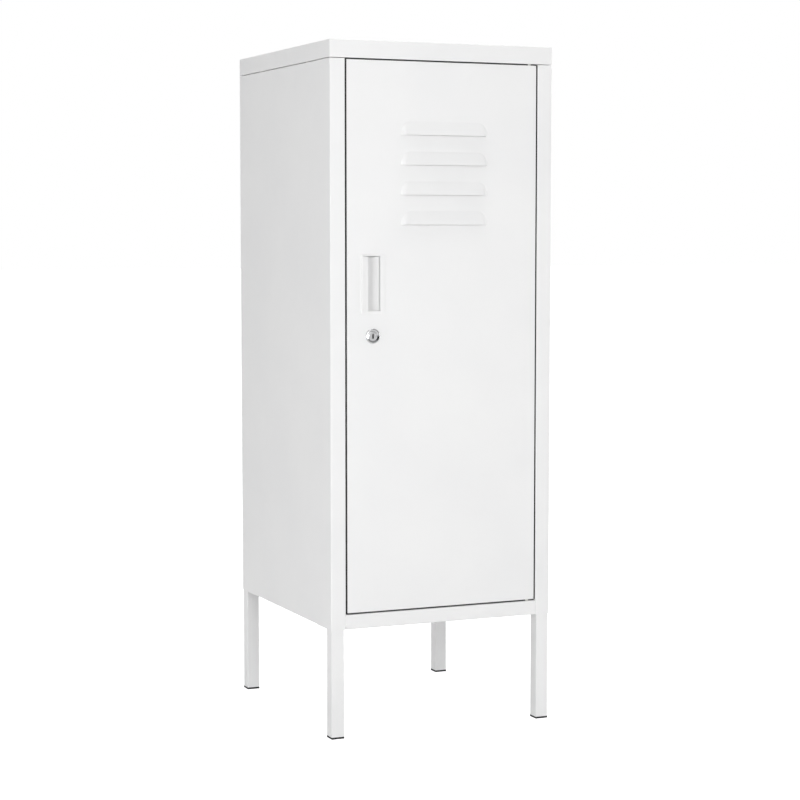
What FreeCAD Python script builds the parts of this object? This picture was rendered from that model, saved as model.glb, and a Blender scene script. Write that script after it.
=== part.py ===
import FreeCAD, Part
import math
import os

from FreeCAD import Vector

# Single-door steel locker on four legs. Millimetres: X to the right, Y to the rear, Z up.
# The origin is on the floor, under the middle of the cabinet.

# Overall size and sheet
WIDTH = 360.0
DEPTH = 395.0
HEIGHT = 1025.0
SHEET = 0.8
BEND = 0.7  # radius inside a fold

# Levels and widths of the cabinet
LID_HEIGHT = 26.0
LID_SEAM = 1.0
BODY_BOTTOM = 163.0
RAIL_HEIGHT = 22.0
STILE = 23.7
RETURN_DEPTH = 20.0
STOP_LIP = 12.0
RETURN_HEM = 8.0
FLANGE = 14.0
REAR_FLANGE = 25.0
BOTTOM_FLANGE = 16.0
FOLD_LEG = 8.0  # straight leg that ties a flange to its wall
SIDE_FLANGE_REACH = 138.0  # bottom flanges run between the leg plates
PLAY = 0.2
OVER = 2.0  # how far a cutting tool runs past the metal
TOP_TIE_START = 50.0  # top flanges start this far behind the front
HEADER_DEPTH = 36.7
HEADER_LEG = 19.0
RAIL_FLANGE = 15.5
WING_START = 6.0  # the floor widens this far inside the rail's ends

# Door
DOOR_SIDE_GAP = 2.3
DOOR_END_GAP = 2.0
DOOR_THICK = 18.0
DOOR_HEM = 12.0

# Louvres pressed out of the door
LOUVRE_COUNT = 4
LOUVRE_FIRST = 758.6
LOUVRE_PITCH = 43.7
LOUVRE_HEIGHT = 19.5
LOUVRE_X = 1.7  # middle of the louvres
LOUVRE_FOOT = 70.2  # half width along the slit
LOUVRE_END = 14.0  # length of each rounded end
LOUVRE_WALL = 8.0  # from the foot of the hood to its face
LOUVRE_OUT = 5.4  # how far the face stands out at the slit
LOUVRE_STEPS = 6

# Recessed pull
PULL_LEFT = -131.9
PULL_RIGHT = -95.2
PULL_LOW = 628.5
PULL_HIGH = 714.5
PULL_PROUD = 1.8
PULL_WALL = 1.8
PULL_WINDOW_LEFT = -128.3
PULL_WINDOW_RIGHT = -101.7
PULL_WINDOW_LOW = 632.0
PULL_WINDOW_HIGH = 712.7
PULL_LIP_EDGE = -120.6
PULL_LIP_SET = 2.4
PULL_LIP_THICK = 2.5
PULL_DEPTH = 15.0
PULL_SCOOP_LEFT = -123.3  # right of it the floor curves up to the lip's level
PULL_SCOOP_X = -110.6  # halfway up the curve
PULL_SCOOP_DEPTH = 11.1
PULL_TOP_GAP = 0.8  # shadow gaps at the top and right of the recess
PULL_SIDE_GAP = 0.6
PULL_GAP_DEPTH = 3.0
PULL_EDGE = 0.4

# Cam lock
LOCK_X = -113.6
LOCK_Z = 595.5
LOCK_BEZEL_R = 11.1
LOCK_PROUD = 3.0
LOCK_BARREL_R = 8.0
LOCK_PLUG_R = 5.45
LOCK_COLLAR_R = 6.6
LOCK_COLLAR = 0.8
LOCK_COLLAR_EDGE = 0.5
LOCK_DISH_R = 9.4
LOCK_DISH = 1.5
LOCK_END_GAP = 0.5  # from the barrel's end to the back of the door
LOCK_NUT = 4.0
LOCK_NUT_FLATS = 22.0
KEYWAY_WIDE = 2.2
KEYWAY_HIGH = 7.5
KEYWAY_DEEP = 9.0
CAM_WIDTH = 15.0
CAM_REACH = 37.0
CAM_THICK = 2.0
CAM_SQUARE = 6.5
CAM_BEHIND_LIP = 0.7
CAM_SCREW_R = 1.9
CAM_SCREW_HEAD_R = 4.4
CAM_SCREW_HEAD = 2.2
CAM_SCREW_LENGTH = 9.0
RUNNING = 0.05  # radial clearance of a running fit

# Pivot hinge
PIVOT_X = 142.0
PIVOT_INSET = 6.0
PIN_R = 2.5
PIN_HEAD_R = 3.8
PIN_HEAD = 2.0
BUSH_R = 3.6
BUSH_FLANGE_R = 5.4
BUSH_FLANGE = 1.7
BUSH_LENGTH = 12.0
PIN_ENGAGE = 10.0
PIVOT_PLATE = 3.0
PIVOT_PLATE_HALF = 14.0
PIVOT_PLATE_DEEP = 25.0

# Rubber seals in the gap around the door
SEAL_SIDE = 1.5  # how far the door's seal fills its gap
SEAL_END = 1.3
SEAL_SET = 0.4  # from the front plane to the seal
SEAL_WIDE = 6.0
SEAL_PIVOT_CLEAR = 2.6
HINGE_SEAL = 0.35
HINGE_SEAL_SET = 1.4

# Magnets and bumpers on the stop lip
MAGNET_Z = [245.0, 945.0]
MAGNET_HIGH = 30.0
MAGNET_WIDE = 7.0
MAGNET_THICK = 1.8
BUMPER_Z = [330.0, 860.0]
BUMPER_R = 3.5
BUMPER_THICK = 1.8

# Legs and feet
LEG_TUBE = 20.0
LEG_WALL = 1.0
LEG_INSET = 1.0
LEG_CORNER = 1.2
LEG_PLATE = 2.0
LEG_PLATE_REACH = 56.0
FOOT_FLANGE = 3.0
FOOT_PLUG = 15.0
FOOT_PROUD = 0.2
FOOT_ROUND = 0.8

# Inside: shelves on slotted standards
SHELF_TOPS = {"lower": 460.0, "upper": 735.0}
SHELF_LIP = 20.0
SHELF_HALF = 172.0
SHELF_FRONT = -165.0
SHELF_REAR = 190.0
STANDARD_WIDE = 15.0
STANDARD_DEEP = 6.0
STANDARD_LOW = 200.0
STANDARD_HIGH = 985.0
STANDARD_Y = {"front": -120.0, "rear": 140.0}
SLOT_PITCH = 25.0
SLOT_WIDE = 3.0
SLOT_HIGH = 9.0
SLOT_UNDER_SHELF = 11.5  # shelf top to the foot of the slot that carries its clip
CLIP_WIDE = 12.0
CLIP_LEDGE = 13.0
CLIP_SHEET = 1.0
CLIP_LEDGE_THICK = 2.0
CLIP_TOOTH = 4.0

# Fasteners
M5_R = 2.4
M5_HOLE_R = 2.7
M5_HEAD_R = 4.2
M5_HEAD = 2.0
M5_LENGTH = 8.0
M5_NUT = 4.0
M5_FLATS = 8.0
M6_R = 2.95
M6_HOLE_R = 3.3
M6_HEAD_R = 6.0
M6_HEAD = 4.0
M6_LENGTH = 12.0
M6_NUT = 5.0
M6_FLATS = 10.0
NUT_PLAY = 0.05
SPACER_R = 5.5
WALL_HOLE_R = 3.25
WALL_HOLE_X = 120.0
WALL_HOLE_Z = 930.0

# Derived planes
HALF_W = WIDTH / 2
REAR = DEPTH / 2
FRONT = -REAR
INNER_W = HALF_W - SHEET
INNER_REAR = REAR - SHEET
SKIN_BACK = FRONT + SHEET
LID_BOTTOM = HEIGHT - LID_HEIGHT
LID_UNDER = HEIGHT - SHEET
BODY_TOP = LID_BOTTOM - LID_SEAM
FLOOR_TOP = BODY_BOTTOM + RAIL_HEIGHT
FLOOR_UNDER = FLOOR_TOP - SHEET
STILE_EDGE = HALF_W - STILE
DOOR_EDGE = STILE_EDGE - DOOR_SIDE_GAP
DOOR_LOW = FLOOR_TOP + DOOR_END_GAP
DOOR_HIGH = LID_BOTTOM - DOOR_END_GAP
DOOR_BACK = FRONT + DOOR_THICK
STOP_FACE = FRONT + RETURN_DEPTH
PIVOT_Y = FRONT + PIVOT_INSET
OUTER_BEND = BEND + SHEET
LOCK_BARREL_END = DOOR_BACK - LOCK_END_GAP
CAM_FRONT = STOP_FACE + SHEET + CAM_BEHIND_LIP
LIP_MIDDLE = -STILE_EDGE + STOP_LIP / 2

# Places of the fasteners
LID_SIDE_PLACES = [(x, y) for x in (-173.0, 173.0) for y in (-100.0, 100.0)]
LID_REAR_PLACES = [(x, REAR - 8.5) for x in (-80.0, 80.0)]
LID_PLACES = LID_SIDE_PLACES + LID_REAR_PLACES
BOTTOM_PLACES = [(x, y) for x in (-172.0, 172.0) for y in (-90.0, 90.0)]
BACK_PLACES = [(x, z) for x in (-172.0, 172.0) for z in (260.0, 590.0, 930.0)]
LEG_BOLT_PLACES = [(168.0, 152.0), (133.0, 166.0)]
LEG_SIDES = {
    "front_left": (-1, -1),
    "front_right": (1, -1),
    "rear_left": (-1, 1),
    "rear_right": (1, 1),
}

X_AXIS = Vector(1, 0, 0)
Y_AXIS = Vector(0, 1, 0)
Z_AXIS = Vector(0, 0, 1)


def block(low, high):
    """Box between two corners."""
    size = [b - a for a, b in zip(low, high)]
    return Part.makeBox(size[0], size[1], size[2], Vector(*low))


def soft_block(low, high, radius):
    """Box with all its edges rounded."""
    box = block(low, high)
    return box.makeFillet(radius, box.Edges)


def upright_block(low, high, radius):
    """Upright box with its four vertical edges rounded."""
    box = block(low, high)
    upright = [edge for edge in box.Edges if abs(edge.tangentAt(edge.FirstParameter).z) > 0.9]
    return box.makeFillet(radius, upright)


def rod(radius, base, direction, length):
    """Cylinder that starts at base and runs along direction."""
    return Part.makeCylinder(radius, length, Vector(*base), direction)


def hexagon(flats, base, direction, length):
    """Hexagonal prism that starts at base and runs along direction."""
    reach = flats / math.sqrt(3)
    turns = [math.radians(60 * step) for step in range(7)]
    corners = [Vector(reach * math.cos(turn), reach * math.sin(turn), 0) for turn in turns]
    prism = Part.Face(Part.makePolygon(corners)).extrude(Vector(0, 0, length))
    prism.Placement = FreeCAD.Placement(Vector(*base), FreeCAD.Rotation(Z_AXIS, direction))
    return prism


def in_space(u, v, axis, level):
    """Point of a section drawn square to an axis: (y, z) for x, (x, z) for y, (x, y) for z."""
    if axis == "x":
        return Vector(level, u, v)
    if axis == "y":
        return Vector(u, level, v)
    return Vector(u, v, level)


def rounded_path(corners, radii):
    """Straight runs through the corners, with an arc at each corner between the two ends."""
    edges = []
    last = corners[0]
    for before, corner, after, radius in zip(corners, corners[1:], corners[2:], radii):
        back = (before - corner).normalize()
        ahead = (after - corner).normalize()
        half_angle = back.getAngle(ahead) / 2
        reach = radius / math.tan(half_angle)
        outward = (back + ahead).normalize() * -1
        centre = corner - outward * (radius / math.sin(half_angle))
        edges.append(Part.makeLine(last, corner + back * reach))
        arc = Part.Arc(corner + back * reach, centre + outward * radius, corner + ahead * reach)
        edges.append(arc.toShape())
        last = corner + ahead * reach
    edges.append(Part.makeLine(last, corners[-1]))
    return edges


def face_within(edges):
    """Flat face inside a closed ring of edges."""
    return Part.Face(Part.Wire(Part.sortEdges(edges)[0]))


def fold(points, axis, start, end):
    """Folded sheet: the points follow one skin of its section, and the metal lies to their left."""
    normals = []
    for (u0, v0), (u1, v1) in zip(points, points[1:]):
        run = math.hypot(u1 - u0, v1 - v0)
        normals.append(((v0 - v1) / run, (u1 - u0) / run))
    skin = [in_space(u, v, axis, start) for u, v in points]
    other = []
    for index, (u, v) in enumerate(points):
        au, av = normals[max(index - 1, 0)]
        bu, bv = normals[min(index, len(normals) - 1)]
        share = SHEET / (1 + au * bu + av * bv)
        other.append(in_space(u + share * (au + bu), v + share * (av + bv), axis, start))
    skin_radii = []
    other_radii = []
    for (au, av), (bu, bv) in zip(normals, normals[1:]):
        turns_left = au * bv - av * bu > 0
        skin_radii.append(OUTER_BEND if turns_left else BEND)
        other_radii.append(BEND if turns_left else OUTER_BEND)
    edges = rounded_path(skin, skin_radii) + rounded_path(other, other_radii)
    edges.append(Part.makeLine(skin[0], other[0]))
    edges.append(Part.makeLine(skin[-1], other[-1]))
    return face_within(edges).extrude(in_space(0, 0, axis, end - start))


def mirrored(shape):
    """The same piece on the other side of the cabinet."""
    return shape.mirror(Vector(0, 0, 0), X_AXIS)


def upright_holes(places, radius, low, high):
    """Vertical drills at (x, y) places."""
    return [rod(radius, (x, y, low), Z_AXIS, high - low) for x, y in places]


def cross_holes(places, radius, near, far):
    """Front-to-back drills at (x, z) places."""
    return [rod(radius, (x, near, z), Y_AXIS, far - near) for x, z in places]


def side_panel(has_stop_lip):
    """Left side sheet: rear flange, wall, front stile and its return, with tie flanges."""
    tail = -STILE_EDGE + STOP_LIP if has_stop_lip else -STILE_EDGE - RETURN_HEM
    section = [
        (-HALF_W + REAR_FLANGE, REAR),
        (-HALF_W, REAR),
        (-HALF_W, FRONT),
        (-STILE_EDGE, FRONT),
        (-STILE_EDGE, STOP_FACE),
        (tail, STOP_FACE),
    ]
    panel = fold(section, "z", BODY_BOTTOM, BODY_TOP)
    over_floor = FLOOR_TOP + 2 * PLAY
    below_return = block(
        (-INNER_W + OUTER_BEND, SKIN_BACK, BODY_BOTTOM - OVER),
        (-STILE_EDGE + STOP_LIP + OVER, STOP_FACE + OVER, over_floor),
    )
    panel = panel.cut(below_return)
    top_from, top_to = FRONT + TOP_TIE_START, REAR - FLANGE - 2 * OVER
    top = [(-HALF_W + FLANGE, BODY_TOP), (-HALF_W, BODY_TOP), (-HALF_W, BODY_TOP - FOLD_LEG)]
    bottom = [
        (-HALF_W, BODY_BOTTOM + FOLD_LEG),
        (-HALF_W, BODY_BOTTOM),
        (-HALF_W + BOTTOM_FLANGE, BODY_BOTTOM),
    ]
    clear_top = block(
        (-HALF_W - OVER, top_from, BODY_TOP - FOLD_LEG), (-INNER_W, top_to, BODY_TOP + OVER)
    )
    clear_low = block(
        (-HALF_W - OVER, -SIDE_FLANGE_REACH, BODY_BOTTOM - OVER),
        (-INNER_W, SIDE_FLANGE_REACH, BODY_BOTTOM + FOLD_LEG),
    )
    panel = panel.cut([clear_top, clear_low])
    panel = panel.fuse(
        [fold(top, "y", top_from, top_to), fold(bottom, "y", -SIDE_FLANGE_REACH, SIDE_FLANGE_REACH)]
    )
    drills = upright_holes(LID_SIDE_PLACES, M5_HOLE_R, BODY_TOP - OVER, BODY_TOP + OVER)
    drills += upright_holes(BOTTOM_PLACES, M5_HOLE_R, BODY_BOTTOM - OVER, BODY_BOTTOM + OVER)
    drills += cross_holes(BACK_PLACES, M5_HOLE_R, REAR - OVER, REAR + OVER)
    return panel.cut(drills).removeSplitter()


def back_panel():
    """Rear sheet between the side panels' flanges and the floor, with a top flange and two wall holes."""
    section = [
        (INNER_REAR, FLOOR_UNDER - LEG_PLATE + 2 * PLAY),
        (INNER_REAR, BODY_TOP),
        (INNER_REAR - FLANGE, BODY_TOP),
    ]
    half = INNER_W - BEND
    sheet = fold(section, "x", -half, half)
    wall_places = [(side * WALL_HOLE_X, WALL_HOLE_Z) for side in (-1, 1)]
    near, far = INNER_REAR - SHEET - OVER, REAR + OVER
    drills = cross_holes(BACK_PLACES, M5_HOLE_R, near, far)
    drills += cross_holes(wall_places, WALL_HOLE_R, near, far)
    drills += upright_holes(LID_REAR_PLACES, M5_HOLE_R, BODY_TOP - OVER, BODY_TOP + OVER)
    return sheet.cut(drills)


def top_lid():
    """Shallow pan with flush skirts and inturned lower flanges at the sides and the rear."""
    under = LID_BOTTOM - 2 * OVER
    deeper = under - 2 * OVER
    shell = soft_block((-HALF_W, FRONT, under), (HALF_W, REAR, HEIGHT), OUTER_BEND)
    hollow = soft_block((-INNER_W, SKIN_BACK, deeper), (INNER_W, INNER_REAR, LID_UNDER), BEND)
    below = block((-WIDTH, -DEPTH, deeper - OVER), (WIDTH, DEPTH, LID_BOTTOM))
    lid = shell.cut(hollow).cut(below)
    leg_top = LID_BOTTOM + FOLD_LEG
    side = [(-HALF_W, leg_top), (-HALF_W, LID_BOTTOM), (-HALF_W + FLANGE, LID_BOTTOM)]
    rear = [(REAR - FLANGE, LID_BOTTOM), (REAR, LID_BOTTOM), (REAR, leg_top)]
    reach_y = REAR - OUTER_BEND
    reach_x = HALF_W - OUTER_BEND
    side_fold = fold(side, "y", -reach_y, reach_y)
    inside = -HALF_W + OUTER_BEND
    behind_header = SKIN_BACK + HEADER_DEPTH + 2 * OVER
    for y_from, y_to in ((-REAR, behind_header), (REAR - FLANGE - OVER, REAR)):
        relief = block((inside, y_from, LID_BOTTOM - OVER), (inside + FLANGE, y_to, leg_top))
        side_fold = side_fold.cut(relief)
    rear_fold = fold(rear, "x", -reach_x, reach_x)
    old_side = block((-HALF_W - OVER, -reach_y, LID_BOTTOM - OVER), (-INNER_W, reach_y, leg_top))
    old_rear = block((-reach_x, INNER_REAR, LID_BOTTOM - OVER), (reach_x, REAR + OVER, leg_top))
    lid = lid.cut([old_side, mirrored(old_side), old_rear])
    lid = lid.fuse([side_fold, mirrored(side_fold), rear_fold])
    drills = upright_holes(LID_PLACES, M5_HOLE_R, LID_BOTTOM - OVER, LID_BOTTOM + OVER)
    return lid.cut(drills).removeSplitter()


def lid_stiffener():
    """Hat channel across the underside of the lid."""
    brim, half, drop = 35.0, 15.0, 16.0
    section = [
        (brim, LID_UNDER),
        (half, LID_UNDER),
        (half, LID_UNDER - drop),
        (-half, LID_UNDER - drop),
        (-half, LID_UNDER),
        (-brim, LID_UNDER),
    ]
    reach = HALF_W - FLANGE - OVER
    return fold(section, "x", -reach, reach)


def header_rail():
    """Channel behind the lid's front skirt that carries the upper pivot."""
    section = [
        (SKIN_BACK, LID_BOTTOM + HEADER_LEG),
        (SKIN_BACK, LID_BOTTOM),
        (SKIN_BACK + HEADER_DEPTH, LID_BOTTOM),
        (SKIN_BACK + HEADER_DEPTH, LID_UNDER),
    ]
    reach = INNER_W - SHEET - 2 * PLAY
    rail = fold(section, "x", -reach, reach)
    pin_hole = upright_holes([(PIVOT_X, PIVOT_Y)], PIN_R + PLAY, LID_BOTTOM - OVER, LID_BOTTOM + OVER)
    return rail.cut(pin_hole)


def upper_pivot_plate():
    """Thick plate welded into the header under the head of the upper pin."""
    near = SKIN_BACK + OUTER_BEND + PLAY
    base = LID_BOTTOM + SHEET
    low = (PIVOT_X - PIVOT_PLATE_HALF, near, base)
    high = (PIVOT_X + PIVOT_PLATE_HALF, near + PIVOT_PLATE_DEEP, base + PIVOT_PLATE)
    hole = upright_holes([(PIVOT_X, PIVOT_Y)], PIN_R + PLAY, base - OVER, base + PIVOT_PLATE + OVER)
    return block(low, high).cut(hole)


def bottom_panel():
    """Floor pan: front rail, floor, rear skirt and two side skirts that rest on the side panels."""
    rear_edge = INNER_REAR - SHEET - 2 * PLAY
    half_rail = STILE_EDGE - PLAY
    half_floor = INNER_W - PLAY
    main = [
        (rear_edge, BODY_BOTTOM + OVER),
        (rear_edge, FLOOR_TOP),
        (FRONT, FLOOR_TOP),
        (FRONT, BODY_BOTTOM),
        (FRONT + RAIL_FLANGE, BODY_BOTTOM),
    ]
    shelf_z = BODY_BOTTOM + SHEET
    wing_edge = -half_rail + WING_START
    wing = [
        (wing_edge, FLOOR_TOP),
        (-half_floor, FLOOR_TOP),
        (-half_floor, shelf_z),
        (-half_floor + FLANGE, shelf_z),
    ]
    left_wing = fold(wing, "y", -SIDE_FLANGE_REACH, SIDE_FLANGE_REACH)
    front_end = (SKIN_BACK + PLAY, -SIDE_FLANGE_REACH)
    rear_end = (SIDE_FLANGE_REACH, rear_edge - OUTER_BEND)
    left = [left_wing]
    for y_from, y_to in (front_end, rear_end):
        left.append(block((-half_floor, y_from, FLOOR_UNDER), (wing_edge, y_to, FLOOR_TOP)))
    pan = fold(main, "x", -half_rail, half_rail)
    pan = pan.fuse(left + [mirrored(piece) for piece in left])
    bolts = [(sx * x, sy * y) for sx, sy in LEG_SIDES.values() for x, y in LEG_BOLT_PLACES]
    drills = upright_holes(bolts, M6_HOLE_R, FLOOR_UNDER - OVER, FLOOR_TOP + OVER)
    drills += upright_holes(BOTTOM_PLACES, M5_HOLE_R, shelf_z - OVER, shelf_z + OVER)
    drills += upright_holes([(PIVOT_X, PIVOT_Y)], PIN_R + PLAY, FLOOR_UNDER - OVER, FLOOR_TOP + OVER)
    return pan.cut(drills).removeSplitter()


def placed(piece, side_x, side_y):
    """A piece drawn for the rear right corner, moved to another corner by mirroring."""
    if side_x < 0:
        piece = piece.mirror(Vector(0, 0, 0), X_AXIS)
    if side_y < 0:
        piece = piece.mirror(Vector(0, 0, 0), Y_AXIS)
    return piece


def leg():
    """Rear right leg: square tube welded to the corner plate that bolts up under the floor."""
    near_x, near_y = HALF_W - LEG_INSET, REAR - LEG_INSET
    far_x, far_y = near_x - LEG_TUBE, near_y - LEG_TUBE
    plate_low = FLOOR_UNDER - LEG_PLATE
    outside = upright_block((far_x, far_y, FOOT_FLANGE), (near_x, near_y, plate_low), LEG_CORNER)
    bore = upright_block(
        (far_x + LEG_WALL, far_y + LEG_WALL, FOOT_FLANGE - OVER),
        (near_x - LEG_WALL, near_y - LEG_WALL, plate_low + OVER),
        LEG_CORNER - LEG_WALL,
    )
    plate = block(
        (near_x - LEG_PLATE_REACH, near_y - LEG_PLATE_REACH, plate_low),
        (near_x - PLAY, near_y - LEG_PLATE - SHEET, FLOOR_UNDER),
    )
    drills = upright_holes(LEG_BOLT_PLACES, M6_HOLE_R, plate_low - OVER, FLOOR_TOP)
    return outside.cut(bore).fuse(plate).cut(drills).removeSplitter()


def foot():
    """Rear right plastic foot: a pad under the tube and a plug inside it."""
    near_x, near_y = HALF_W - LEG_INSET + FOOT_PROUD, REAR - LEG_INSET + FOOT_PROUD
    wide = LEG_TUBE + 2 * FOOT_PROUD
    pad = soft_block((near_x - wide, near_y - wide, 0), (near_x, near_y, FOOT_FLANGE), FOOT_ROUND)
    inset = FOOT_PROUD + LEG_WALL + PLAY
    plug = upright_block(
        (near_x - wide + inset, near_y - wide + inset, FOOT_FLANGE / 2),
        (near_x - inset, near_y - inset, FOOT_FLANGE + FOOT_PLUG),
        FOOT_ROUND,
    )
    return pad.fuse(plug)


def slot_feet():
    """Heights of the lower ends of the slots, one of them right under each shelf."""
    carried = SHELF_TOPS["lower"] - SLOT_UNDER_SHELF
    first = carried - SLOT_PITCH * math.floor((carried - STANDARD_LOW - SLOT_HIGH) / SLOT_PITCH)
    count = math.floor((STANDARD_HIGH - first - 2 * SLOT_HIGH) / SLOT_PITCH) + 1
    return [first + SLOT_PITCH * step for step in range(count)]


def shelf_standard(y):
    """Left upright channel with a row of slots, welded to the side wall."""
    half = STANDARD_WIDE / 2
    web = -INNER_W + STANDARD_DEEP
    section = [(-INNER_W, y - half), (web, y - half), (web, y + half), (-INNER_W, y + half)]
    channel = fold(section, "z", STANDARD_LOW, STANDARD_HIGH)
    slots = [
        block((web - OVER, y - SLOT_WIDE / 2, z), (web + OVER, y + SLOT_WIDE / 2, z + SLOT_HIGH))
        for z in slot_feet()
    ]
    return channel.cut(slots)


def shelf(top):
    """Shelf pan with a lip turned down on all four edges."""
    low = top - SHELF_LIP
    under = low - 2 * OVER
    shell = soft_block((-SHELF_HALF, SHELF_FRONT, under), (SHELF_HALF, SHELF_REAR, top), OUTER_BEND)
    hollow = soft_block(
        (-SHELF_HALF + SHEET, SHELF_FRONT + SHEET, under - OVER),
        (SHELF_HALF - SHEET, SHELF_REAR - SHEET, top - SHEET),
        BEND,
    )
    below = block((-WIDTH, -DEPTH, under - OVER), (WIDTH, DEPTH, low))
    return shell.cut(hollow).cut(below)


def shelf_clip(y, top):
    """Left clip: a hook in one slot, a back plate and a ledge under the shelf's lip."""
    web = -INNER_W + STANDARD_DEEP
    half = CLIP_WIDE / 2
    ledge_top = top - SHELF_LIP
    slot = top - SLOT_UNDER_SHELF
    ledge_low = ledge_top - CLIP_LEDGE_THICK
    back = block((web, y - half, ledge_low), (web + CLIP_SHEET, y + half, slot + SLOT_HIGH))
    ledge = block((web, y - half, ledge_low), (web + CLIP_LEDGE, y + half, ledge_top))
    hook = SLOT_WIDE / 2 - PLAY
    inner = web - SHEET - CLIP_LEDGE_THICK
    neck_top = slot + CLIP_TOOTH
    neck = block((inner, y - hook, slot), (web, y + hook, neck_top))
    tooth = block((inner, y - hook, slot - CLIP_TOOTH), (web - SHEET - PLAY, y + hook, neck_top))
    return back.fuse([ledge, neck, tooth]).removeSplitter()


def shelf_clips(top):
    """The four clips under one shelf."""
    left = [shelf_clip(y, top) for y in STANDARD_Y.values()]
    return Part.makeCompound(left + [mirrored(clip) for clip in left])


def louvre_outline(low, inset, slit_out, top_out):
    """One step of a louvre's hood: two quarter ellipses at its ends, a straight top and a slit edge."""
    middle = LOUVRE_FOOT - LOUVRE_END
    high = low + LOUVRE_HEIGHT - inset
    edges = []
    for side in (-1, 1):
        centre = Vector(LOUVRE_X + side * middle, FRONT - slit_out, low)
        top = Vector(LOUVRE_X + side * middle, FRONT - top_out, high)
        foot = Vector(LOUVRE_X + side * (LOUVRE_FOOT - inset), FRONT - slit_out, low)
        end = Part.Ellipse(top, foot, centre)
        edges.append(Part.ArcOfEllipse(end, 0, math.pi / 2).toShape())
    left, right = edges
    edges.append(Part.makeLine(left.valueAt(left.FirstParameter), right.valueAt(right.FirstParameter)))
    edges.append(Part.makeLine(left.valueAt(left.LastParameter), right.valueAt(right.LastParameter)))
    return Part.Wire(Part.sortEdges(edges)[0])


def louvre_form(low, shrink, sink):
    """Solid hood over a slit, drawn in by shrink and pushed into the door by sink."""
    wires = [louvre_outline(low, shrink, -sink - SHEET / 2, -sink - SHEET / 2)]
    for step in range(LOUVRE_STEPS + 1):
        inset = LOUVRE_WALL * step / LOUVRE_STEPS
        slit_out = LOUVRE_OUT * math.sin(math.pi / 2 * step / LOUVRE_STEPS)
        top_out = LOUVRE_OUT * inset / LOUVRE_HEIGHT
        wires.append(louvre_outline(low, inset + shrink, slit_out - sink, top_out - sink))
    return Part.makeLoft(wires, True, True)


def door_panel():
    """Door pan with hemmed rear edges, pressed louvres and cut-outs for pull, lock and bushes."""
    shell = soft_block((-DOOR_EDGE, FRONT, DOOR_LOW), (DOOR_EDGE, DOOR_BACK, DOOR_HIGH), OUTER_BEND)
    hollow = soft_block(
        (-DOOR_EDGE + SHEET, SKIN_BACK, DOOR_LOW + SHEET),
        (DOOR_EDGE - SHEET, DOOR_BACK - SHEET, DOOR_HIGH - SHEET),
        BEND,
    )
    opening = block(
        (-DOOR_EDGE + DOOR_HEM, DOOR_BACK - OVER, DOOR_LOW + DOOR_HEM),
        (DOOR_EDGE - DOOR_HEM, DOOR_BACK + OVER, DOOR_HIGH - DOOR_HEM),
    )
    pull_low, pull_high = pull_body_corners(PLAY)
    near, far = FRONT - OVER, SKIN_BACK + OVER
    pull_hole = block((pull_low[0], near, pull_low[1]), (pull_high[0], far, pull_high[1]))
    lock_hole = cross_holes([(LOCK_X, LOCK_Z)], LOCK_BARREL_R + PLAY, near, far)
    pivot = [(PIVOT_X, PIVOT_Y)]
    bush_hole = upright_holes(pivot, BUSH_R + RUNNING, DOOR_LOW - OVER, DOOR_HIGH + OVER)
    door = shell.cut([hollow, opening, pull_hole] + lock_hole + bush_hole)
    for step in range(LOUVRE_COUNT):
        low = LOUVRE_FIRST + step * LOUVRE_PITCH
        mouth = louvre_form(low, SHEET, SHEET)
        hood = louvre_form(low, 0.0, 0.0).cut(mouth)
        door = door.cut(mouth).fuse(hood)
    return door.removeSplitter()


def door_seal():
    """Rubber strip around the lock side, top and bottom of the door, open in front of the pivots."""
    near, far = FRONT + SEAL_SET, FRONT + SEAL_SET + SEAL_WIDE
    outside = block(
        (-DOOR_EDGE - SEAL_SIDE, near, DOOR_LOW - SEAL_END), (DOOR_EDGE, far, DOOR_HIGH + SEAL_END)
    )
    inside = block((-DOOR_EDGE, near, DOOR_LOW), (DOOR_EDGE, far, DOOR_HIGH))
    pivots = block(
        (PIVOT_X - SEAL_PIVOT_CLEAR, near, DOOR_LOW - SEAL_END),
        (PIVOT_X + SEAL_PIVOT_CLEAR, far, DOOR_HIGH + SEAL_END),
    )
    flanges = rod(BUSH_FLANGE_R + PLAY, (PIVOT_X, PIVOT_Y, 0), Z_AXIS, HEIGHT)
    return outside.cut([inside, pivots, flanges])


def hinge_seal():
    """Thin rubber strip on the return of the hinge stile."""
    near = FRONT + HINGE_SEAL_SET
    return block(
        (STILE_EDGE - HINGE_SEAL, near, DOOR_LOW), (STILE_EDGE, near + SEAL_WIDE, DOOR_HIGH)
    )


def door_stiffener():
    """Upright hat channel inside the door, beside the hinge."""
    left, right, brim, deep = 114.0, 128.0, 10.0, 12.7
    low_gap, high_gap = 18.0, 22.0
    section = [
        (left - brim, SKIN_BACK),
        (left, SKIN_BACK),
        (left, SKIN_BACK + deep),
        (right, SKIN_BACK + deep),
        (right, SKIN_BACK),
        (right + brim, SKIN_BACK),
    ]
    return fold(section, "z", DOOR_LOW + low_gap, DOOR_HIGH - high_gap)


def pull_body_corners(play):
    """Lower left and upper right corner, in x and z, of the part of the pull inside the door."""
    low = (PULL_LEFT + PULL_WALL - play, PULL_LOW + PULL_WALL - play)
    high = (PULL_RIGHT - 2 * PULL_WALL + play, PULL_HIGH - PULL_WALL / 2 + play)
    return low, high


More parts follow.
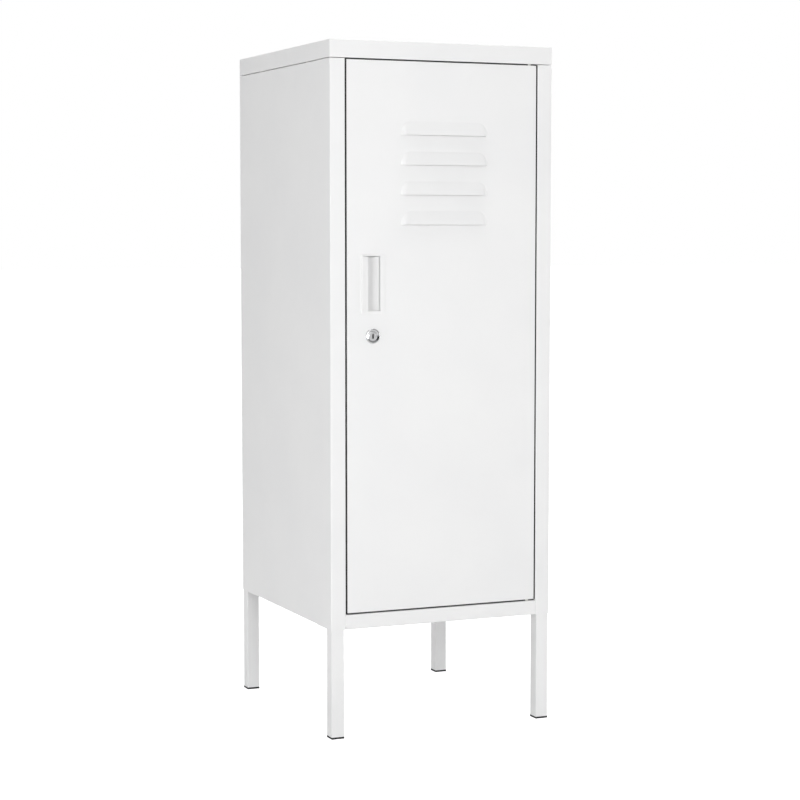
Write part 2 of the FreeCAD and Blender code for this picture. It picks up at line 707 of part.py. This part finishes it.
def handle_cup():
    """Moulded recessed pull: a rim, a grip lip on the left and a floor scooped up to the right."""
    face = FRONT - PULL_PROUD
    rim = soft_block((PULL_LEFT, face, PULL_LOW), (PULL_RIGHT, FRONT + PULL_PROUD, PULL_HIGH), PULL_EDGE)
    behind = block(
        (PULL_LEFT - OVER, FRONT, PULL_LOW - OVER), (PULL_RIGHT + OVER, DOOR_BACK, PULL_HIGH + OVER)
    )
    rim = rim.cut(behind)
    (left, low), (right, high) = pull_body_corners(0)
    floor = FRONT + PULL_DEPTH
    cup = block((left, FRONT, low), (right, floor + PULL_WALL, high))
    lip_front = face + PULL_LIP_SET
    lip_back = lip_front + PULL_LIP_THICK
    open_front = lip_front - PULL_LIP_SET / 2
    window = block(
        (PULL_WINDOW_LEFT, face - OVER, PULL_WINDOW_LOW),
        (PULL_WINDOW_RIGHT, lip_front, PULL_WINDOW_HIGH),
    )
    top_gap = block(
        (PULL_WINDOW_LEFT, face, PULL_WINDOW_HIGH - PULL_TOP_GAP),
        (PULL_WINDOW_RIGHT, floor + PULL_WALL / 2, PULL_WINDOW_HIGH),
    )
    scoop_top = lip_front + PLAY
    scoop_right = PULL_WINDOW_RIGHT - PULL_SIDE_GAP
    gap_floor = scoop_top + PULL_GAP_DEPTH
    right_run = [
        (PULL_WINDOW_RIGHT, open_front),
        (PULL_WINDOW_RIGHT, gap_floor),
        (scoop_right, gap_floor),
        (scoop_right, scoop_top),
    ]
    left_run = [
        (PULL_SCOOP_LEFT, floor),
        (PULL_WINDOW_LEFT, floor),
        (PULL_WINDOW_LEFT, lip_back),
        (PULL_LIP_EDGE, lip_back),
        (PULL_LIP_EDGE, open_front),
        (PULL_WINDOW_RIGHT, open_front),
    ]
    section = []
    for run in (right_run, left_run):
        section += Part.makePolygon([in_space(x, y, "z", PULL_WINDOW_LOW) for x, y in run]).Edges
    scoop = Part.Arc(
        in_space(scoop_right, scoop_top, "z", PULL_WINDOW_LOW),
        in_space(PULL_SCOOP_X, FRONT + PULL_SCOOP_DEPTH, "z", PULL_WINDOW_LOW),
        in_space(PULL_SCOOP_LEFT, floor, "z", PULL_WINDOW_LOW),
    )
    section.append(scoop.toShape())
    recess = face_within(section).extrude(Vector(0, 0, PULL_WINDOW_HIGH - PULL_WINDOW_LOW))
    return rim.fuse(cup).cut([window, top_gap, recess]).removeSplitter()


def lock_body():
    """Fixed lock case: rounded bezel with a dished front, and the barrel behind it."""
    face = FRONT - LOCK_PROUD
    bezel = rod(LOCK_BEZEL_R, (LOCK_X, face, LOCK_Z), Y_AXIS, LOCK_PROUD)
    front_edge = [edge for edge in bezel.Edges if abs(edge.BoundBox.YMax - face) < 1e-6]
    bezel = bezel.makeFillet(LOCK_PROUD / 2, front_edge)
    start = SKIN_BACK - OVER
    barrel = rod(LOCK_BARREL_R, (LOCK_X, start, LOCK_Z), Y_AXIS, LOCK_BARREL_END - start)
    seat_r = LOCK_COLLAR_R + PLAY
    dish = Part.makeCone(LOCK_DISH_R, seat_r, LOCK_DISH, Vector(LOCK_X, face, LOCK_Z), Y_AXIS)
    bore = cross_holes([(LOCK_X, LOCK_Z)], LOCK_PLUG_R + RUNNING, face - OVER, LOCK_BARREL_END + OVER)
    return bezel.fuse(barrel).cut([dish] + bore).removeSplitter()


def lock_nut():
    """Hexagonal nut that clamps the lock to the door skin."""
    nut = hexagon(LOCK_NUT_FLATS, (LOCK_X, SKIN_BACK, LOCK_Z), Y_AXIS, LOCK_NUT)
    near, far = SKIN_BACK - OVER, SKIN_BACK + LOCK_NUT + OVER
    return nut.cut(cross_holes([(LOCK_X, LOCK_Z)], LOCK_BARREL_R + NUT_PLAY, near, far))


def lock_plug():
    """Turning core: collar, cylinder with a keyway, and the square that drives the cam."""
    face = FRONT - LOCK_PROUD
    seat = face + LOCK_DISH
    collar_face = seat - LOCK_COLLAR
    collar = rod(LOCK_COLLAR_R, (LOCK_X, collar_face, LOCK_Z), Y_AXIS, LOCK_COLLAR)
    front_edge = [edge for edge in collar.Edges if abs(edge.BoundBox.YMax - collar_face) < 1e-6]
    collar = collar.makeFillet(LOCK_COLLAR_EDGE, front_edge)
    core = rod(LOCK_PLUG_R, (LOCK_X, seat, LOCK_Z), Y_AXIS, CAM_FRONT - seat)
    half = CAM_SQUARE / 2
    square = block(
        (LOCK_X - half, CAM_FRONT - OVER, LOCK_Z - half),
        (LOCK_X + half, CAM_FRONT + CAM_THICK, LOCK_Z + half),
    )
    keyway = block(
        (LOCK_X - KEYWAY_WIDE / 2, collar_face - OVER, LOCK_Z - KEYWAY_HIGH / 2),
        (LOCK_X + KEYWAY_WIDE / 2, seat + KEYWAY_DEEP, LOCK_Z + KEYWAY_HIGH / 2),
    )
    tap_from, tap_to = CAM_FRONT - CAM_SCREW_LENGTH, CAM_FRONT + CAM_THICK + OVER
    tap = cross_holes([(LOCK_X, LOCK_Z)], CAM_SCREW_R + NUT_PLAY, tap_from, tap_to)
    return collar.fuse([core, square]).cut([keyway] + tap).removeSplitter()


def lock_cam():
    """Flat tongue on the plug's square; it hangs down while the lock is open."""
    radius = CAM_WIDTH / 2
    back = CAM_FRONT + CAM_THICK
    eye = rod(radius, (LOCK_X, CAM_FRONT, LOCK_Z), Y_AXIS, CAM_THICK)
    arm = block((LOCK_X - radius, CAM_FRONT, LOCK_Z - CAM_REACH + radius), (LOCK_X + radius, back, LOCK_Z))
    tip = rod(radius, (LOCK_X, CAM_FRONT, LOCK_Z - CAM_REACH + radius), Y_AXIS, CAM_THICK)
    half = CAM_SQUARE / 2 + NUT_PLAY
    square = block(
        (LOCK_X - half, CAM_FRONT - OVER, LOCK_Z - half), (LOCK_X + half, back + OVER, LOCK_Z + half)
    )
    return eye.fuse([arm, tip]).cut(square).removeSplitter()


def hinge_bush(low, flange_low, bore_low, bore_high):
    """Nylon bush in the door's end, with its flange in the gap to the frame."""
    body = rod(BUSH_R, (PIVOT_X, PIVOT_Y, low), Z_AXIS, BUSH_LENGTH)
    collar = rod(BUSH_FLANGE_R, (PIVOT_X, PIVOT_Y, flange_low), Z_AXIS, BUSH_FLANGE)
    bore = upright_holes([(PIVOT_X, PIVOT_Y)], PIN_R + RUNNING, bore_low, bore_high)
    return body.fuse(collar).cut(bore).removeSplitter()


def hinge_pin(head_low, shank_low, shank_high):
    """Headed pivot pin."""
    head = rod(PIN_HEAD_R, (PIVOT_X, PIVOT_Y, head_low), Z_AXIS, PIN_HEAD)
    shank = rod(PIN_R, (PIVOT_X, PIVOT_Y, shank_low), Z_AXIS, shank_high - shank_low)
    return head.fuse(shank).removeSplitter()


def screw(base, direction, radius, head_radius, head, length):
    """Screw whose head bears on base and whose shank runs along direction."""
    start = Vector(*base)
    cap = Part.makeCylinder(head_radius, head, start - direction * head, direction)
    rim = [edge for edge in cap.Edges if abs((edge.CenterOfMass - start) * direction + head) < 1e-6]
    cap = cap.makeFillet(head / 3, rim)
    shank = Part.makeCylinder(radius, length, start, direction)
    return cap.fuse(shank).removeSplitter()


def nut(base, direction, flats, height, radius):
    """Plain hexagonal nut on a screw of the given radius."""
    bore = Part.makeCylinder(radius + NUT_PLAY, 3 * height, Vector(*base) - direction * height, direction)
    return hexagon(flats, base, direction, height).cut(bore)


def m5_screw(base, direction):
    """Pan-head screw that ties two sheets together."""
    return screw(base, direction, M5_R, M5_HEAD_R, M5_HEAD, M5_LENGTH)


def m5_nut(base, direction):
    """Nut on one of those screws."""
    return nut(base, direction, M5_FLATS, M5_NUT, M5_R)


def leg_bolt(x, y):
    """Bolt from inside the cabinet through the floor and a leg's plate."""
    return screw((x, y, FLOOR_TOP), -Z_AXIS, M6_R, M6_HEAD_R, M6_HEAD, M6_LENGTH)


def lid_spacer(x, y):
    """Washer that keeps the seam between lid and side open."""
    ring = rod(SPACER_R, (x, y, BODY_TOP), Z_AXIS, LID_SEAM)
    return ring.cut(upright_holes([(x, y)], M5_HOLE_R, BODY_TOP - OVER, LID_BOTTOM + OVER))


def door_magnet(z):
    """Flat magnet on the stop lip that holds the door shut by its rear hem."""
    half = MAGNET_WIDE / 2
    return soft_block(
        (LIP_MIDDLE - half, STOP_FACE - MAGNET_THICK, z - MAGNET_HIGH / 2),
        (LIP_MIDDLE + half, STOP_FACE, z + MAGNET_HIGH / 2),
        MAGNET_THICK / 6,
    )


def door_bumper(z):
    """Soft dot on the stop lip that the door closes against."""
    return rod(BUMPER_R, (LIP_MIDDLE, STOP_FACE - BUMPER_THICK, z), Y_AXIS, BUMPER_THICK)


def cabinet_pieces():
    """Everything that stands still."""
    pieces = {
        "left_side_panel": side_panel(True),
        "right_side_panel": mirrored(side_panel(False)),
        "back_panel": back_panel(),
        "bottom_panel": bottom_panel(),
        "top_lid": top_lid(),
        "lid_stiffener": lid_stiffener(),
        "header_rail": header_rail(),
        "upper_pivot_plate": upper_pivot_plate(),
        "hinge_seal": hinge_seal(),
    }
    pivot_hole = rod(PIN_R + PLAY, (PIVOT_X, PIVOT_Y, 0), Z_AXIS, FLOOR_TOP)
    for corner, sides in LEG_SIDES.items():
        pieces[f"{corner}_leg"] = placed(leg(), *sides).cut(pivot_hole)
        pieces[f"{corner}_foot"] = placed(foot(), *sides)
    for place, y in STANDARD_Y.items():
        pieces[f"{place}_left_shelf_standard"] = shelf_standard(y)
        pieces[f"{place}_right_shelf_standard"] = mirrored(shelf_standard(y))
    for level, top in SHELF_TOPS.items():
        pieces[f"{level}_shelf"] = shelf(top)
        pieces[f"{level}_shelf_clips"] = shelf_clips(top)
    return pieces


def cabinet_hardware():
    """Pivot pins, fasteners, magnets and bumpers on the cabinet."""
    plate_top = LID_BOTTOM + SHEET + PIVOT_PLATE
    plate_low = FLOOR_UNDER - LEG_PLATE
    leg_places = [(sx * x, sy * y) for sx, sy in LEG_SIDES.values() for x, y in LEG_BOLT_PLACES]
    lid_flange = BODY_TOP - SHEET
    back_face = INNER_REAR - SHEET
    bottom_top = BODY_BOTTOM + 2 * SHEET
    groups = {
        "lid_screws": [m5_screw((x, y, lid_flange), Z_AXIS) for x, y in LID_PLACES],
        "lid_nuts": [m5_nut((x, y, LID_BOTTOM + SHEET), Z_AXIS) for x, y in LID_PLACES],
        "lid_spacers": [lid_spacer(x, y) for x, y in LID_PLACES],
        "bottom_screws": [m5_screw((x, y, BODY_BOTTOM), Z_AXIS) for x, y in BOTTOM_PLACES],
        "bottom_nuts": [m5_nut((x, y, bottom_top), Z_AXIS) for x, y in BOTTOM_PLACES],
        "back_screws": [m5_screw((x, REAR, z), -Y_AXIS) for x, z in BACK_PLACES],
        "back_nuts": [m5_nut((x, back_face, z), -Y_AXIS) for x, z in BACK_PLACES],
        "leg_bolts": [leg_bolt(x, y) for x, y in leg_places],
        "leg_nuts": [nut((x, y, plate_low), -Z_AXIS, M6_FLATS, M6_NUT, M6_R) for x, y in leg_places],
        "door_magnets": [door_magnet(z) for z in MAGNET_Z],
        "door_bumpers": [door_bumper(z) for z in BUMPER_Z],
    }
    pieces = {name: Part.makeCompound(solids) for name, solids in groups.items()}
    pieces["upper_hinge_pin"] = hinge_pin(plate_top, DOOR_HIGH - PIN_ENGAGE, plate_top)
    pieces["lower_hinge_pin"] = hinge_pin(plate_low - PIN_HEAD, plate_low, DOOR_LOW + PIN_ENGAGE)
    return pieces


def door_pieces():
    """What swings with the door."""
    return {
        "door_panel": door_panel(),
        "door_stiffener": door_stiffener(),
        "door_seal": door_seal(),
        "handle_cup": handle_cup(),
        "lock_body": lock_body(),
        "lock_nut": lock_nut(),
        "upper_hinge_bush": hinge_bush(
            DOOR_HIGH - BUSH_LENGTH,
            DOOR_HIGH,
            DOOR_HIGH - BUSH_LENGTH - OVER,
            DOOR_HIGH + OVER,
        ),
        "lower_hinge_bush": hinge_bush(
            DOOR_LOW,
            DOOR_LOW - BUSH_FLANGE,
            DOOR_LOW - OVER,
            DOOR_LOW + PIN_ENGAGE,
        ),
    }


def lock_pieces():
    """What turns with the key."""
    cam_back = CAM_FRONT + CAM_THICK
    cam_screw = screw(
        (LOCK_X, cam_back, LOCK_Z), -Y_AXIS, CAM_SCREW_R, CAM_SCREW_HEAD_R, CAM_SCREW_HEAD, CAM_SCREW_LENGTH
    )
    return {"lock_plug": lock_plug(), "lock_cam": lock_cam(), "lock_cam_screw": cam_screw}


os.makedirs("parts", exist_ok=True)
for group in (cabinet_pieces(), cabinet_hardware(), door_pieces(), lock_pieces()):
    for name, shape in group.items():
        shape.exportStep(f"parts/{name}.step")
        print(f"{name}: {len(shape.Solids)} solids, {shape.Volume:.1f} mm3, valid {shape.isValid()}")
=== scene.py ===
import math

import bpy
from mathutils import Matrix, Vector

# Looks of the single-door steel locker. Metres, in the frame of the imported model.

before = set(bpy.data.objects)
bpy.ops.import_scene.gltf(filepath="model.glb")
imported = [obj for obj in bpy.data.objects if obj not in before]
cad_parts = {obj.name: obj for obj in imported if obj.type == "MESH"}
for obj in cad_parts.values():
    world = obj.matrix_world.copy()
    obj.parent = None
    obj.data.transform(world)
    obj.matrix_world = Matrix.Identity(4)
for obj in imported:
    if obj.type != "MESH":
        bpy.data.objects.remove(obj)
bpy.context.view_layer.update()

# Camera: where it looks, from which side and how far, and its lens
CAMERA_TARGET = Vector((0.0162, 0.0, 0.4831))
CAMERA_YAW = -23.4946
CAMERA_PITCH = 4.5509
CAMERA_DISTANCE = 3.28997
CAMERA_LENS = 93.575
CAMERA_SENSOR = 36.0

# Softboxes: yaw and pitch in degrees as seen from the object, distance and size in metres, watts
SOFTBOXES = {
    "front_softbox": (-6, 10, 2.6, 1.3, 25),
    "left_softbox": (-57, 2, 2.6, 1.3, 20),
    "left_rear_softbox": (-115, 7, 2.6, 1.3, 10),
    "right_softbox": (80, 0, 2.6, 1.3, 22),
    "rear_softbox": (150, 55, 3.0, 1.6, 28),
    "top_softbox": (0, 85, 2.6, 1.8, 28),
}
SOFTBOX_AIM = Vector((0, 0, 0.55))

# Room: its strength, and the dark part's direction, share of the light and angles
ROOM_LIGHT = 0.33
DARK_YAW = -30
DARK_PITCH = 5
DARK_SHARE = 0.1
DARK_INNER = 18
DARK_OUTER = 42

# Floor: half its width, its shade, and the glow that fades it to white between two distances
FLOOR_HALF = 40.0
FLOOR_SHADE = 0.75
FLOOR_GLOW_NEAR = 0.74
FLOOR_GLOW_FAR = 1.0
FLOOR_FADE_START = 0.4
FLOOR_FADE_END = 1.6

# Parts of the noise's range over which the shade and the roughness change
TINT_RANGE = (0.35, 0.65)
ROUGH_RANGE = (0.3, 0.7)

# Keyway: painted shade, with the depths behind the plug's face where it starts and ends darkening,
# and the share of the colour left
KEYWAY_SHADE_START = 0.0006
KEYWAY_SHADE_FULL = 0.0012
KEYWAY_SHADE_SHARE = 0.04

WHITE = (1, 1, 1, 1)


def direction(yaw, pitch):
    """Unit vector from the object towards a place seen at that yaw and pitch."""
    yaw, pitch = math.radians(yaw), math.radians(pitch)
    return Vector(
        (math.sin(yaw) * math.cos(pitch), -math.cos(yaw) * math.cos(pitch), math.sin(pitch))
    )


def place_facing(item, target, back, distance):
    """Put a lamp or camera at a distance from its target, looking at it."""
    item.location = target + back * distance
    item.rotation_euler = (-back).to_track_quat("-Z", "Y").to_euler()
    bpy.context.scene.collection.objects.link(item)


def add_camera():
    """Camera at the photograph's viewing angle."""
    data = bpy.data.cameras.new("camera")
    data.lens = CAMERA_LENS
    data.sensor_width = CAMERA_SENSOR
    camera = bpy.data.objects.new("camera", data)
    place_facing(camera, CAMERA_TARGET, direction(CAMERA_YAW, CAMERA_PITCH), CAMERA_DISTANCE)
    bpy.context.scene.camera = camera


def add_softbox(name, yaw, pitch, distance, size, power):
    """Large square lamp that faces the middle of the object."""
    data = bpy.data.lights.new(name, "AREA")
    data.shape = "SQUARE"
    data.size = size
    data.energy = power
    place_facing(bpy.data.objects.new(name, data), SOFTBOX_AIM, direction(yaw, pitch), distance)


def add_world():
    """Pale room with a dark part at the left front; the camera sees a white background."""
    world = bpy.data.worlds.new("surroundings")
    world.use_nodes = True
    tree = world.node_tree
    room = tree.nodes["Background"]
    place = tree.nodes.new("ShaderNodeTexCoord")
    facing = tree.nodes.new("ShaderNodeVectorMath")
    facing.operation = "DOT_PRODUCT"
    facing.inputs[1].default_value = direction(DARK_YAW, DARK_PITCH)
    fade = tree.nodes.new("ShaderNodeMapRange")
    fade.interpolation_type = "SMOOTHSTEP"
    fade.inputs["From Min"].default_value = math.cos(math.radians(DARK_OUTER))
    fade.inputs["From Max"].default_value = math.cos(math.radians(DARK_INNER))
    fade.inputs["To Min"].default_value = ROOM_LIGHT
    fade.inputs["To Max"].default_value = ROOM_LIGHT * DARK_SHARE
    backdrop = tree.nodes.new("ShaderNodeBackground")
    backdrop.inputs["Color"].default_value = WHITE
    path = tree.nodes.new("ShaderNodeLightPath")
    mix = tree.nodes.new("ShaderNodeMixShader")
    room.inputs["Color"].default_value = WHITE
    tree.links.new(place.outputs["Generated"], facing.inputs[0])
    tree.links.new(facing.outputs["Value"], fade.inputs["Value"])
    tree.links.new(fade.outputs["Result"], room.inputs["Strength"])
    tree.links.new(path.outputs["Is Camera Ray"], mix.inputs[0])
    tree.links.new(room.outputs[0], mix.inputs[1])
    tree.links.new(backdrop.outputs[0], mix.inputs[2])
    tree.links.new(mix.outputs[0], tree.nodes["World Output"].inputs["Surface"])
    bpy.context.scene.world = world


def new_finish(name, metal=0.0):
    """Material, its node tree and its shader."""
    material = bpy.data.materials.new(name)
    material.use_nodes = True
    shader = material.node_tree.nodes["Principled BSDF"]
    shader.inputs["Metallic"].default_value = metal
    return material, material.node_tree, shader


def noise(tree, scale, detail=2.0, stretch=(1, 1, 1)):
    """Noise fixed to the piece, with about scale blotches to the metre."""
    place = tree.nodes.new("ShaderNodeTexCoord")
    mapping = tree.nodes.new("ShaderNodeMapping")
    mapping.inputs["Scale"].default_value = stretch
    texture = tree.nodes.new("ShaderNodeTexNoise")
    texture.inputs["Scale"].default_value = scale
    texture.inputs["Detail"].default_value = detail
    tree.links.new(place.outputs["Object"], mapping.inputs["Vector"])
    tree.links.new(mapping.outputs["Vector"], texture.inputs["Vector"])
    return texture.outputs["Fac"]


def tint(tree, shader, pattern, dark, light):
    """Base colour that drifts between two shades with a pattern."""
    ramp = tree.nodes.new("ShaderNodeValToRGB")
    low, high = ramp.color_ramp.elements
    low.position, high.position = TINT_RANGE
    low.color, high.color = (*dark, 1), (*light, 1)
    tree.links.new(pattern, ramp.inputs["Fac"])
    tree.links.new(ramp.outputs["Color"], shader.inputs["Base Color"])


def painted_depth_shade(tree, shader, node, near, far, share):
    """Painted shade: base colour that falls to a share of itself between two depths behind the
    node's front.
    """
    front = min(corner[1] for corner in node.bound_box)
    place = tree.nodes.new("ShaderNodeTexCoord")
    axes = tree.nodes.new("ShaderNodeSeparateXYZ")
    fade = tree.nodes.new("ShaderNodeMapRange")
    fade.inputs["From Min"].default_value = front + near
    fade.inputs["From Max"].default_value = front + far
    fade.inputs["To Min"].default_value = 1.0
    fade.inputs["To Max"].default_value = share
    shaded_colour = tree.nodes.new("ShaderNodeVectorMath")
    shaded_colour.operation = "SCALE"
    unshaded_colour = shader.inputs["Base Color"].links[0].from_socket
    tree.links.new(place.outputs["Object"], axes.inputs["Vector"])
    tree.links.new(axes.outputs["Y"], fade.inputs["Value"])
    tree.links.new(unshaded_colour, shaded_colour.inputs[0])
    tree.links.new(fade.outputs["Result"], shaded_colour.inputs["Scale"])
    tree.links.new(shaded_colour.outputs["Vector"], shader.inputs["Base Color"])


def roughen(tree, shader, pattern, low, high):
    """Roughness that drifts between two values with a pattern."""
    spread = tree.nodes.new("ShaderNodeMapRange")
    spread.inputs["From Min"].default_value, spread.inputs["From Max"].default_value = ROUGH_RANGE
    spread.inputs["To Min"].default_value = low
    spread.inputs["To Max"].default_value = high
    tree.links.new(pattern, spread.inputs["Value"])
    tree.links.new(spread.outputs["Result"], shader.inputs["Roughness"])


def emboss(tree, shader, pattern, depth, strength):
    """Fine relief from a pattern."""
    bump = tree.nodes.new("ShaderNodeBump")
    bump.inputs["Distance"].default_value = depth
    bump.inputs["Strength"].default_value = strength
    tree.links.new(pattern, bump.inputs["Height"])
    tree.links.new(bump.outputs["Normal"], shader.inputs["Normal"])


def white_paint():
    """Satin powder coat with a faint orange peel."""
    material, tree, shader = new_finish("white_powder_coat")
    pattern = noise(tree, scale=7)
    tint(tree, shader, pattern, dark=(0.812, 0.813, 0.815), light=(0.832, 0.832, 0.831))
    roughen(tree, shader, noise(tree, scale=60, detail=3), low=0.4, high=0.5)
    emboss(tree, shader, noise(tree, scale=620, detail=1), depth=0.0001, strength=0.12)
    return material


def white_plastic():
    """Moulded white plastic, a little smoother than the paint."""
    material, tree, shader = new_finish("white_moulded_plastic")
    pattern = noise(tree, scale=30)
    tint(tree, shader, pattern, dark=(0.815, 0.816, 0.818), light=(0.835, 0.835, 0.834))
    roughen(tree, shader, noise(tree, scale=150, detail=3), low=0.34, high=0.44)
    emboss(tree, shader, noise(tree, scale=1500, detail=1), depth=0.00005, strength=0.1)
    return material


def chrome():
    """Bright plate with fine hairlines."""
    material, tree, shader = new_finish("chrome_plate", 1.0)
    pattern = noise(tree, scale=200)
    tint(tree, shader, pattern, dark=(0.7, 0.705, 0.715), light=(0.78, 0.782, 0.79))
    roughen(tree, shader, noise(tree, scale=500, detail=4, stretch=(1, 1, 8)), low=0.06, high=0.14)
    return material


def satin_chrome(plug):
    """Turned face of the lock's core, with a soft sheen, and painted shade that darkens the keyway
    and the plug behind its face.
    """
    material, tree, shader = new_finish("satin_chrome", 1.0)
    pattern = noise(tree, scale=300)
    tint(tree, shader, pattern, dark=(0.62, 0.625, 0.635), light=(0.74, 0.742, 0.75))
    # Painted shade: the plug's colour darkens from just behind its face, so the keyway reads dark.
    painted_depth_shade(tree, shader, plug, KEYWAY_SHADE_START, KEYWAY_SHADE_FULL, KEYWAY_SHADE_SHARE)
    roughen(tree, shader, noise(tree, scale=800, detail=4, stretch=(8, 1, 1)), low=0.28, high=0.4)
    return material


def black_plastic():
    """Matt moulded plastic with a fine grain."""
    material, tree, shader = new_finish("black_foot_plastic")
    pattern = noise(tree, scale=120)
    tint(tree, shader, pattern, dark=(0.012, 0.012, 0.0125), light=(0.022, 0.022, 0.022))
    roughen(tree, shader, noise(tree, scale=400, detail=3), low=0.5, high=0.68)
    emboss(tree, shader, noise(tree, scale=1800, detail=2), depth=0.0001, strength=0.3)
    return material


def zinc():
    """Zinc plate with a cloudy sheen."""
    material, tree, shader = new_finish("zinc_plate", 1.0)
    pattern = noise(tree, scale=260, detail=4)
    tint(tree, shader, pattern, dark=(0.5, 0.505, 0.51), light=(0.68, 0.685, 0.68))
    roughen(tree, shader, noise(tree, scale=420, detail=4), low=0.25, high=0.45)
    return material


def nylon():
    """Natural nylon."""
    material, tree, shader = new_finish("natural_nylon")
    pattern = noise(tree, scale=180)
    tint(tree, shader, pattern, dark=(0.77, 0.76, 0.71), light=(0.83, 0.825, 0.79))
    roughen(tree, shader, noise(tree, scale=500, detail=3), low=0.35, high=0.48)
    return material


def clear_rubber():
    """Milky soft rubber dots."""
    material, tree, shader = new_finish("milky_rubber")
    pattern = noise(tree, scale=300)
    tint(tree, shader, pattern, dark=(0.56, 0.57, 0.58), light=(0.66, 0.67, 0.68))
    roughen(tree, shader, noise(tree, scale=700, detail=3), low=0.22, high=0.36)
    return material


def black_rubber():
    """Matt extruded strip whose near-black colour stands in for the shade in the door gaps:
    painted shade.
    """
    material, tree, shader = new_finish("black_gap_shade_seal")
    pattern = noise(tree, scale=90)
    tint(tree, shader, pattern, dark=(0.012, 0.012, 0.012), light=(0.024, 0.024, 0.024))
    roughen(tree, shader, noise(tree, scale=500, detail=3), low=0.65, high=0.85)
    emboss(tree, shader, noise(tree, scale=1400, detail=2), depth=0.0001, strength=0.25)
    return material


def magnet_strip():
    """Dark bonded magnet with a speckled face."""
    material, tree, shader = new_finish("bonded_magnet")
    pattern = noise(tree, scale=900, detail=4)
    tint(tree, shader, pattern, dark=(0.035, 0.032, 0.03), light=(0.085, 0.08, 0.074))
    roughen(tree, shader, noise(tree, scale=500, detail=3), low=0.5, high=0.7)
    return material


def dress_nodes():
    """Give every piece the finish that its slot names."""
    finishes = {
        "white_paint": white_paint(),
        "white_plastic": white_plastic(),
        "chrome": chrome(),
        "black_plastic": black_plastic(),
        "zinc_steel": zinc(),
        "nylon": nylon(),
        "clear_rubber": clear_rubber(),
        "black_rubber": black_rubber(),
        "magnet_strip": magnet_strip(),
    }
    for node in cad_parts.values():
        slot = node.material_slots[0]
        slot.material = finishes[slot.material.name]
    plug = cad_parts["lock_plug"]
    plug.material_slots[0].material = satin_chrome(plug)


def add_floor():
    """Plain pale floor that fades to white away from the object."""
    corners = [(x, y, 0) for x, y in ((-1, -1), (1, -1), (1, 1), (-1, 1))]
    mesh = bpy.data.meshes.new("floor")
    mesh.from_pydata([Vector(corner) * FLOOR_HALF for corner in corners], [], [(0, 1, 2, 3)])
    floor = bpy.data.objects.new("floor", mesh)
    bpy.context.scene.collection.objects.link(floor)
    material, tree, shader = new_finish("pale_floor")
    shader.inputs["Base Color"].default_value = (FLOOR_SHADE, FLOOR_SHADE, FLOOR_SHADE, 1)
    shader.inputs["Roughness"].default_value = 1.0
    shader.inputs["Specular IOR Level"].default_value = 0.0
    shader.inputs["Emission Color"].default_value = WHITE
    place = tree.nodes.new("ShaderNodeTexCoord")
    reach = tree.nodes.new("ShaderNodeVectorMath")
    reach.operation = "LENGTH"
    fade = tree.nodes.new("ShaderNodeMapRange")
    fade.inputs["From Min"].default_value = FLOOR_FADE_START
    fade.inputs["From Max"].default_value = FLOOR_FADE_END
    fade.inputs["To Min"].default_value = FLOOR_GLOW_NEAR
    fade.inputs["To Max"].default_value = FLOOR_GLOW_FAR
    path = tree.nodes.new("ShaderNodeLightPath")
    seen = tree.nodes.new("ShaderNodeMath")
    seen.operation = "MULTIPLY"
    tree.links.new(place.outputs["Object"], reach.inputs[0])
    tree.links.new(reach.outputs["Value"], fade.inputs["Value"])
    tree.links.new(fade.outputs["Result"], seen.inputs[0])
    tree.links.new(path.outputs["Is Camera Ray"], seen.inputs[1])
    tree.links.new(seen.outputs["Value"], shader.inputs["Emission Strength"])
    mesh.materials.append(material)


dress_nodes()
add_floor()
add_camera()
add_world()
for name, setting in SOFTBOXES.items():
    add_softbox(name, *setting)
bpy.context.scene.view_settings.view_transform = "Standard"
